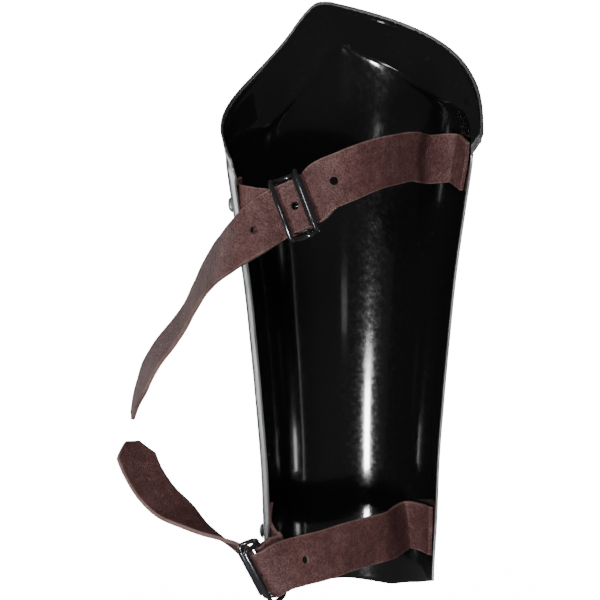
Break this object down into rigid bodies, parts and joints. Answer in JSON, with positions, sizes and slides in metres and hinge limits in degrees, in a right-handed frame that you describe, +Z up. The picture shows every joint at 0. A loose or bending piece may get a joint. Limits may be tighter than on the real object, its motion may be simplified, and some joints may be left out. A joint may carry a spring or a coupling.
{
  "type": "leg greave",
  "caption": "Bent steel shin guard with a flared, pointed knee edge, turned rim and embossed chevron, closed behind by leather straps with roller buckles.",
  "frame": {"origin": "on the middle line of the leg, level with the lower ends of the plate's back edges", "axes": "+Z up the leg to the knee, +Y forward out of the shin, +X to the right as seen from behind, into the open back"},
  "size_m": [0.2281, 0.1393, 0.3839],
  "materials": {
    "polished_steel": "polished outside, glossy black paint on the plate's inside",
    "brown_leather": "dark reddish brown, fine grain, soft sheen",
    "black_metal": "glossy black"
  },
  "bodies": {
    "root": {"greave_plate": "polished_steel", "upper_strap": "brown_leather", "upper_buckle_strap": "brown_leather", "upper_buckle_frame": "black_metal", "upper_buckle_roller": "black_metal", "upper_buckle_tongue": "black_metal", "upper_strap_rivet": "polished_steel", "upper_buckle_rivet": "polished_steel", "lower_strap": "brown_leather", "lower_buckle_strap": "brown_leather", "lower_buckle_frame": "black_metal", "lower_buckle_roller": "black_metal", "lower_buckle_tongue": "black_metal", "lower_strap_rivet": "polished_steel", "lower_buckle_rivet": "polished_steel"}
  },
  "joints": []
}
